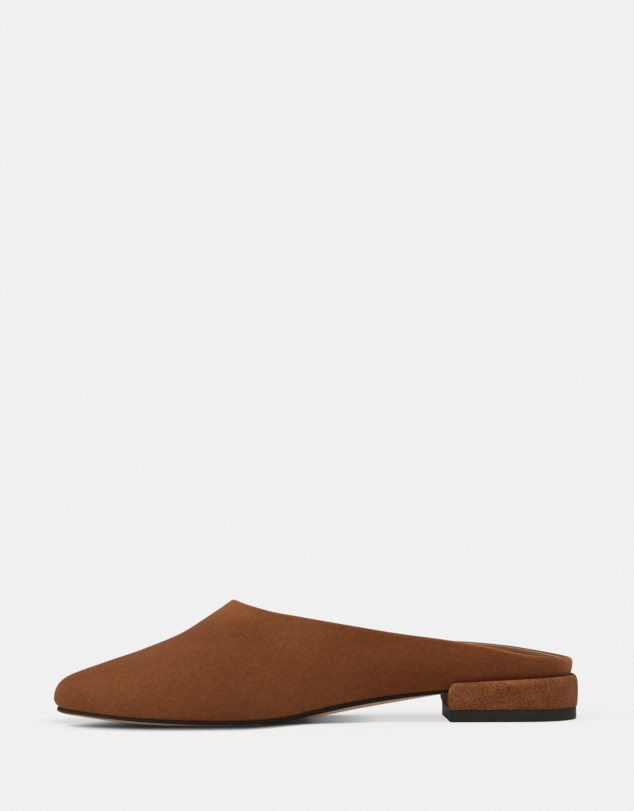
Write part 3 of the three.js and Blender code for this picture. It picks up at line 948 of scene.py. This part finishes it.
def buildLining():
    depth, below = liningDepths()
    hidden = skinPoints - normals * lining["start"]
    shown = skinPoints - normals * depth[:, None]
    turn = math.radians(lining["turn"])
    towards = rimOver * math.sin(turn) - rimNormal * math.cos(turn)
    hidden[rimLoop] = rimMiddle + towards * (rimRoll - lining["sunk"])
    shown[rimLoop] = rimMiddle + towards * (rimRoll + lining["clear"])
    footLoop = loopOf(skinGrids, 0)
    for layer, distance in ((hidden, lining["start"]), (shown, lining["end"])):
        layer[footLoop] = levelOut(skinPoints, normals, footLoop, -distance)
        layer[footLoop, 2] = footAt(skinPoints[footLoop, 0]) + lining["footGap"]
    count = len(skinPoints)
    points = np.vstack([hidden, shown])
    quads = np.vstack([
        skinQuads,
        skinQuads[:, ::-1] + count,
        ringQuads(rimLoop, rimLoop + count),
        ringQuads(footLoop + count, footLoop),
    ])
    # Painted shade: the lining darkens with its depth below the collar's top, fully under the vamp.
    shade = smoothStep(below, lining["darkFrom"], lining["darkTo"])
    makePiece("upperLining", points, quads, liningLeather,
              {"depth": np.concatenate([shade, shade])})
    edgePath = rimMiddle + towards * (rimRoll + lining["clear"] - lining["edgeSunk"])
    edgeRadii = np.full(len(rimLoop), lining["edgeRadius"])
    rollAlong("liningEdge", edgePath, edgeRadii, lining["edgeSides"], edgeLeather)


buildLining()

# The footbed: a leather-covered board, dished for the heel and the ball of the foot.
footbed = {
    "thickness": 2.8,
    "inset": 2.0,
    "underGap": 0.4,
    "across": 28,
    "heelDish": 1.5,
    "heelFrom": (30, 95),
    "ballDish": 0.8,
    "ballX": -55,
    "ballReach": 30,
    "dishPower": 1.2,
}


def footbedOutline(side):
    grid = skinGrids[side]
    rows = []
    for i, (x, _) in enumerate(stations):
        rib = skinPoints[grid[i]]
        height = footAt(rib[0, 0]) + footbed["thickness"]
        rows.append([np.interp(height, rib[:, 2], rib[:, axis]) for axis in range(2)] + [height])
    return np.array(rows)


def acrossRows(inner, outer, count):
    share = np.linspace(0, 1, count + 1)[None, :, None]
    return inner[:, None, :] * (1 - share) + outer[:, None, :] * share


def insetRing(ring, distance):
    step = np.roll(ring, -1, axis=0) - np.roll(ring, 1, axis=0)
    inward = np.column_stack([-step[:, 1], step[:, 0]])
    inward /= np.maximum(np.linalg.norm(inward, axis=1, keepdims=True), 1e-9)
    moved = ring.copy()
    moved[:, :2] += inward * distance
    return moved


def buildFootbed():
    inner, outer = footbedOutline("inner"), footbedOutline("outer")
    ring = insetRing(np.vstack([inner, outer[1:-1][::-1]]), footbed["inset"])
    count = len(stations)
    innerRing = ring[:count]
    outerRing = np.vstack([ring[:1], ring[count:][::-1], ring[count - 1:count]])
    top = acrossRows(innerRing, outerRing, footbed["across"])
    across = np.linspace(-1, 1, footbed["across"] + 1)[None, :]
    x = top[:, :, 0]
    fromBall = (x - footbed["ballX"]) / footbed["ballReach"]
    dish = footbed["heelDish"] * smoothStep(x, *footbed["heelFrom"])
    dish += footbed["ballDish"] * np.exp(-(fromBall ** 2))
    widths = np.array([width for _, width in stations])[:, None]
    top[:, :, 2] -= dish * (1 - across ** 2) ** footbed["dishPower"] * widths
    bottom = top.copy()
    bottom[:, :, 2] = footAt(x) + footbed["underGap"]
    closedSlab("footbed", top, bottom, footbedLeather, "insole", hasFlatEnd=False)


# A closed body between an upper and a lower grid of the same shape.
def closedSlab(name, top, bottom, material, node, attributes=None, hasFlatEnd=True):
    rows, columns = top.shape[:2]
    upper = np.arange(rows * columns).reshape(rows, columns)
    lower = upper + rows * columns

    def strip(a, b):
        return np.column_stack([a[1:], a[:-1], b[:-1], b[1:]])

    quads = np.vstack([
        quadsOf(upper), quadsOf(lower)[:, ::-1],
        strip(upper[:, 0], lower[:, 0]), strip(lower[:, -1], upper[:, -1]),
    ])
    if hasFlatEnd:
        quads = np.vstack([quads, strip(lower[0], upper[0])])
    points = np.vstack([top.reshape(-1, 3), bottom.reshape(-1, 3)])
    piece = makePiece(name, points, quads, material, attributes, sharpFrom=50)
    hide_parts(node)


buildFootbed()

# An open ring runs from one corner of the breast round the tip to the other corner. Its rows are
# drawn in and set at their heights, then joined across: one grid of stations by columns.
def sectionGrid(ring, rows, columns):
    middle = len(ring) // 2
    left, right = [], []
    for inset, heightAt in rows:
        moved = openInset(ring, inset)
        moved[:, 2] = heightAt(moved[:, 0])
        left.append(moved[: middle + 1])
        right.append(moved[middle:][::-1])
    inside = acrossRows(left[-1], right[-1], columns - 2 * len(rows) + 1)[:, 1:-1]
    return np.concatenate([np.stack(left, 1), inside, np.stack(right[::-1], 1)], axis=1)


def openInset(ring, distance):
    step = np.gradient(ring[:, :2], axis=0)
    side = np.column_stack([-step[:, 1], step[:, 0]])
    towardsMiddle = np.sum(side * (ring[:, :2].mean(axis=0) - ring[:, :2]))
    side *= math.copysign(1, towardsMiddle) / np.maximum(np.linalg.norm(side, axis=1, keepdims=True), 1e-9)
    for end in (0, -1):
        side[end] = (0, -math.copysign(1, ring[end, 1]))
    moved = ring.copy()
    moved[:, :2] += side * distance
    return moved


# The outsole's edge, from half way up it: how far in, and the height as a share of the edge (below
# 0, as a share of the underside's belly), with the black paint that it carries. The paint has a
# painted highlight at the toe and painted shade along the arch, and the margin underneath has
# painted shade at the waist.
outsole = {
    "proud": 0.7,
    "columns": 44,
    "over": [(0.0, 0.5), (0.0, 0.86), (0.12, 0.96), (0.30, 1.0), (3.0, 1.0)],
    "under": [(0.0, 0.5, 1), (0.0, 0.14, 1), (0.10, 0.04, 1), (0.24, -0.02, 0.9), (0.42, -0.14, 0),
              (1.0, -0.48, 0), (1.8, -0.76, 0), (3.2, -0.94, 0), (5.0, -1.0, 0)],
    "toeHighlight": 1.5,
    "toeSpan": (-125, -80),
    "archShade": -0.35,
    "archSpan": (-55, -10),
    "shadedMargin": 4.0,
    "waistFrom": (-34, -24),
    "waistTo": (-10, 4),
}


def soleHeight(share):
    if share < 0:
        return lambda x: np.maximum(0.0, underAt(x) + bellyAt(x) * share)
    return lambda x: underAt(x) + edgeAt(x) * share


def buildOutsole():
    inner, outer = (
        levelOut(skinPoints, normals, skinGrids[side][: seatIndex + 1, 0], outsole["proud"])
        for side in ("inner", "outer")
    )
    ring = np.vstack([inner[::-1], outer[1:]])
    ring[[0, -1], 0] = seatX
    over = [(inset, soleHeight(share)) for inset, share in outsole["over"]]
    under = [(inset, soleHeight(share)) for inset, share, _ in outsole["under"]]
    top = sectionGrid(ring, over, outsole["columns"])
    bottom = sectionGrid(ring, under, outsole["columns"])

    def overSole(amounts):
        row = amounts + [0] * (outsole["columns"] - 2 * len(amounts)) + amounts[::-1]
        return np.concatenate([np.ones(top.shape[0] * top.shape[1]), np.tile(row, top.shape[0])])

    paint = overSole([amount for _, _, amount in outsole["under"]])
    margin = overSole([float(inset < outsole["shadedMargin"]) for inset, _, _ in outsole["under"]])
    x = np.concatenate([top[:, :, 0].ravel(), bottom[:, :, 0].ravel()])
    # Painted shade on the underside's margin at the waist, and on the black edge a painted highlight at the
    # toe and painted shade along the arch.
    waist = smoothStep(x, *outsole["waistFrom"]) * (1 - smoothStep(x, *outsole["waistTo"]))
    edgeLightShade = 1 + outsole["toeHighlight"] * (1 - smoothStep(x, *outsole["toeSpan"]))
    edgeLightShade += outsole["archShade"] * smoothStep(x, *outsole["archSpan"])
    closedSlab("outsoleLeather", top, bottom, soleLeather, "outsole",
               {"edgePaint": paint, "edgeLightShade": edgeLightShade, "waistShade": margin * waist})


buildOutsole()

# The top piece under the heel, its rows as the cover's.
topPiece = {
    "inset": 0.5,
    "columns": 36,
    "over": [(0.0, 0.5), (0.0, 0.97), (0.10, 1.0), (1.0, 1.0)],
    "under": [(0.0, 0.5), (0.0, 0.10), (0.12, 0.045), (0.34, 0.012), (0.7, 0.0), (2.0, 0.0)],
}


def heelRing():
    turnX = heel["backX"] - heel["backLength"]
    corner, counts = heel["sideCorner"], heel["stations"]
    marks = []
    for turn in np.linspace(0, math.pi / 2, counts["corner"]):
        across = 1 - corner * (1 - math.sin(turn)) / heel["frontHalf"]
        marks.append((last["breastX"] + corner * (1 - math.cos(turn)), across))
    lipEndX = last["breastX"] + heel["lipCorner"]
    marks += straightStations(last["breastX"] + corner + heel["cornerGap"], lipEndX, counts["lip"])
    marks += straightStations(lipEndX, turnX, counts["side"])
    marks += [(turnX, 1.0)]
    back = endStations(heel["backX"], -1, heel["backLength"], heel["backSquareness"], counts["back"])
    x, share = np.array(marks + back[::-1]).T
    widen = smoothStep(x, last["breastX"], turnX)
    y = (heel["frontHalf"] + (heel["backHalf"] - heel["frontHalf"]) * widen) * share
    inner = np.column_stack([x, -y, 0 * x])
    return np.vstack([inner, (inner * (1, -1, 1))[:-1][::-1]])


def rowsBetween(marks, low, highAt):
    return [(inset, lambda x, share=share: low + (highAt(x) - low) * share) for inset, share in marks]


def buildHeelCover():
    base = heel["rubberTop"] + heel["seam"]
    ring = heelRing()
    top = sectionGrid(ring, rowsBetween(heel["over"], base, lipAt), heel["columns"])
    bottom = sectionGrid(ring, rowsBetween(heel["under"], base, lipAt), heel["columns"])
    rows = len(heel["over"])
    seat = footAt(top[:, rows:-rows, 0]) - heel["seatGap"]
    top[:, rows:-rows, 2] = np.minimum(top[:, rows:-rows, 2], seat)
    deep, shallow = heel["cornerInset"]
    for grid in (top, bottom):
        climb = smoothStep((grid[:, :, 2] - base) / (heel["frontLip"] - base), 0.0, heel["cornerClimb"])
        near = 1 - smoothStep(grid[:, :, 0], last["breastX"], last["breastX"] + heel["cornerRun"])
        outer = smoothStep(np.abs(grid[:, :, 1]), heel["frontHalf"] - deep, heel["frontHalf"] - shallow)
        forward = np.where(grid[:, :, 1] < 0, heel["cornerForward"]["inner"], heel["cornerForward"]["outer"])
        grid[:, :, 0] -= forward * climb * near * outer
    places = np.vstack([top.reshape(-1, 3), bottom.reshape(-1, 3)])
    # Painted highlight along the cover's lip, just below its top edge.
    lightened = heel["lightened"] * smoothStep(places[:, 2] - lipAt(places[:, 0]), *heel["highlightFrom"])
    closedSlab("heelCover", top, bottom, heelSuede, "heel_block", {"paintedLightShade": lightened})


def buildTopPiece():
    def topAt(x):
        return np.full_like(x, heel["rubberTop"])

    ring = openInset(heelRing(), topPiece["inset"])
    top = sectionGrid(ring, rowsBetween(topPiece["over"], 0, topAt), topPiece["columns"])
    bottom = sectionGrid(ring, rowsBetween(topPiece["under"], 0, topAt), topPiece["columns"])
    closedSlab("topPieceRubber", top, bottom, heelRubber, "top_piece")


buildHeelCover()
buildTopPiece()

# A pale floor without edges, soft studio light, and the camera. The floor's own colour lights the
# shoe; the camera sees a darker one with a glow, so that the ground looks even. Contact is a shadow
# painted into that colour and glow, held close to the sole: its reach and fades in metres, its lean
# in degrees, and how clear the floor's surroundings are where it is full and where it ends, at the
# ball and along the arch. View is in metres and degrees, with its lens and sensor in millimetres.
studio = {
    "floorReach": 30.0,
    "floorColor": (0.80, 0.80, 0.80),
    "floorFinish": {"roughness": 1.0, "specular": 0.0},
    "floorShown": 0.180,
    "floorGlow": 0.65,
    "contact": {
        "reach": 0.038, "archReach": 0.009, "lean": 55, "least": 0.028,
        "toe": (-0.133, -0.082), "toeUnder": -0.035, "toeSlant": 0.6,
        "arch": (-0.040, 0.000), "heel": (0.045, 0.066),
        "dark": (0.58, 0.30), "clear": (0.82, 0.92),
    },
    "background": 0.871,
    "skyLight": 0.42,
    "lamps": [
        {"name": "top", "turn": 0, "rise": 78, "strength": 2.10, "spread": 45},
        {"name": "toeSide", "turn": -60, "rise": 25, "strength": 0.50, "spread": 40},
        {"name": "heelSide", "turn": 60, "rise": 55, "strength": 0.40, "spread": 40},
    ],
}
view = {
    "distance": 1.5,
    "height": 0.1128,
    "yaw": 2.2,
    "pitch": 1.67,
    "roll": 0.2,
    "aside": 0.00075,
    "lens": 133.1689,
    "sensor": 36.0,
    "clipEnd": 100.0,
}


# How clear the floor is, 1 in the open: a shadow painted into the floor's colour and glow. The dark
# close to the sole falls to the inner side. It reaches furthest at the ball of the foot, and dies
# away at the toe, soonest under the sole, and along the arch.
def buildContact(tree, place):
    look = studio["contact"]
    axes = addNode(tree, "ShaderNodeSeparateXYZ", None, Vector=place)
    x = axes.outputs["X"]
    under = mathNode(tree, "SUBTRACT", axes.outputs["Y"], look["toeUnder"])
    under = mathNode(tree, "MAXIMUM", under, 0.0)
    toeX = mathNode(tree, "SUBTRACT", x, mathNode(tree, "MULTIPLY", under, look["toeSlant"]))

    def mapped(value, start, end, low, high, kind="LINEAR"):
        return addNode(tree, "ShaderNodeMapRange", {"interpolation_type": kind}, **{
            "Value": value, "From Min": start, "From Max": end, "To Min": low, "To Max": high,
        }).outputs["Result"]

    def rise(value, ends, low, high):
        return mapped(value, *ends, low, high, "SMOOTHSTEP")

    reach = rise(x, look["arch"], look["reach"], look["archReach"])
    lean = math.radians(look["lean"])
    towards = addNode(tree, "ShaderNodeCombineXYZ", None, X=0.0, Y=math.sin(lean), Z=math.cos(lean))
    openness = addNode(tree, "ShaderNodeAmbientOcclusion", None, Distance=reach, Normal=towards.outputs[0])
    darkAt, clearAt = (rise(x, look["arch"], *look[name]) for name in ("dark", "clear"))
    clear = mapped(openness.outputs["AO"], darkAt, clearAt, look["least"], 1.0)
    toeShare, heelShare = rise(toeX, look["toe"], 0.0, 1.0), rise(x, look["heel"], 1.0, 0.0)
    return mathNode(tree, "POWER", clear, mathNode(tree, "MULTIPLY", toeShare, heelShare))


def buildFloor():
    reach = studio["floorReach"]
    mesh = bpy.data.meshes.new("floor")
    corners = [(-reach, -reach, 0), (reach, -reach, 0), (reach, reach, 0), (-reach, reach, 0)]
    mesh.from_pydata(corners, [], [(0, 1, 2, 3)])
    floor = bpy.data.objects.new("floor", mesh)
    bpy.context.scene.collection.objects.link(floor)
    material, tree, principled, place = newMaterial("paleFloor", studio["floorColor"], studio["floorFinish"])
    principled.inputs["Emission Color"].default_value = (1, 1, 1, 1)
    seen = tree.nodes.new("ShaderNodeLightPath").outputs["Is Camera Ray"]
    contact = buildContact(tree, place)
    shown = addNode(tree, "ShaderNodeCombineColor", None, **{
        name: mathNode(tree, "MULTIPLY", contact, studio["floorShown"]) for name in ("Red", "Green", "Blue")})
    base = mixColor(tree, seen, (*studio["floorColor"], 1), shown.outputs[0])
    tree.links.new(base, principled.inputs["Base Color"])
    glow = mathNode(tree, "MULTIPLY", seen, mathNode(tree, "MULTIPLY", contact, studio["floorGlow"]))
    tree.links.new(glow, principled.inputs["Emission Strength"])
    mesh.materials.append(material)


def buildLights():
    world = bpy.data.worlds.new("studio")
    bpy.context.scene.world = world
    world.use_nodes = True
    tree = world.node_tree
    tree.nodes.clear()
    seen = addNode(tree, "ShaderNodeBackground", None, Color=(1, 1, 1, 1), Strength=studio["background"])
    lit = addNode(tree, "ShaderNodeBackground", None, Color=(1, 1, 1, 1), Strength=studio["skyLight"])
    path = tree.nodes.new("ShaderNodeLightPath")
    mixed = tree.nodes.new("ShaderNodeMixShader")
    tree.links.new(path.outputs["Is Camera Ray"], mixed.inputs[0])
    tree.links.new(lit.outputs[0], mixed.inputs[1])
    tree.links.new(seen.outputs[0], mixed.inputs[2])
    tree.links.new(mixed.outputs[0], tree.nodes.new("ShaderNodeOutputWorld").inputs["Surface"])
    for lamp in studio["lamps"]:
        data = bpy.data.lights.new(lamp["name"], "SUN")
        data.energy = lamp["strength"]
        data.angle = math.radians(lamp["spread"])
        turn, rise = math.radians(lamp["turn"]), math.radians(lamp["rise"])
        towards = Vector((math.sin(turn) * math.cos(rise), -math.cos(turn) * math.cos(rise), math.sin(rise)))
        light = bpy.data.objects.new(lamp["name"], data)
        light.rotation_euler = towards.to_track_quat("Z", "Y").to_euler()
        bpy.context.scene.collection.objects.link(light)


def buildCamera():
    yaw, pitch, roll = (math.radians(view[name]) for name in ("yaw", "pitch", "roll"))
    level = Vector((math.sin(yaw), math.cos(yaw), 0))
    right = Vector((math.cos(yaw), -math.sin(yaw), 0))
    ahead = level * math.cos(pitch) + Vector((0, 0, math.sin(pitch)))
    up = right.cross(ahead)
    tiltedRight = right * math.cos(roll) - up * math.sin(roll)
    tiltedUp = right * math.sin(roll) + up * math.cos(roll)
    place = -level * view["distance"] + right * view["aside"] + Vector((0, 0, view["height"]))
    data = bpy.data.cameras.new("camera")
    data.sensor_width = view["sensor"]
    data.lens = view["lens"]
    data.clip_end = view["clipEnd"]
    camera = bpy.data.objects.new("camera", data)
    axes = (tiltedRight, tiltedUp, -ahead, place)
    camera.matrix_world = Matrix([*([axis[i] for axis in axes] for i in range(3)), (0, 0, 0, 1)])
    bpy.context.scene.collection.objects.link(camera)
    bpy.context.scene.camera = camera


buildFloor()
buildLights()
buildCamera()
bpy.context.scene.view_settings.view_transform = "Standard"
print("floor, lights and camera placed")

bpy.context.view_layer.update()
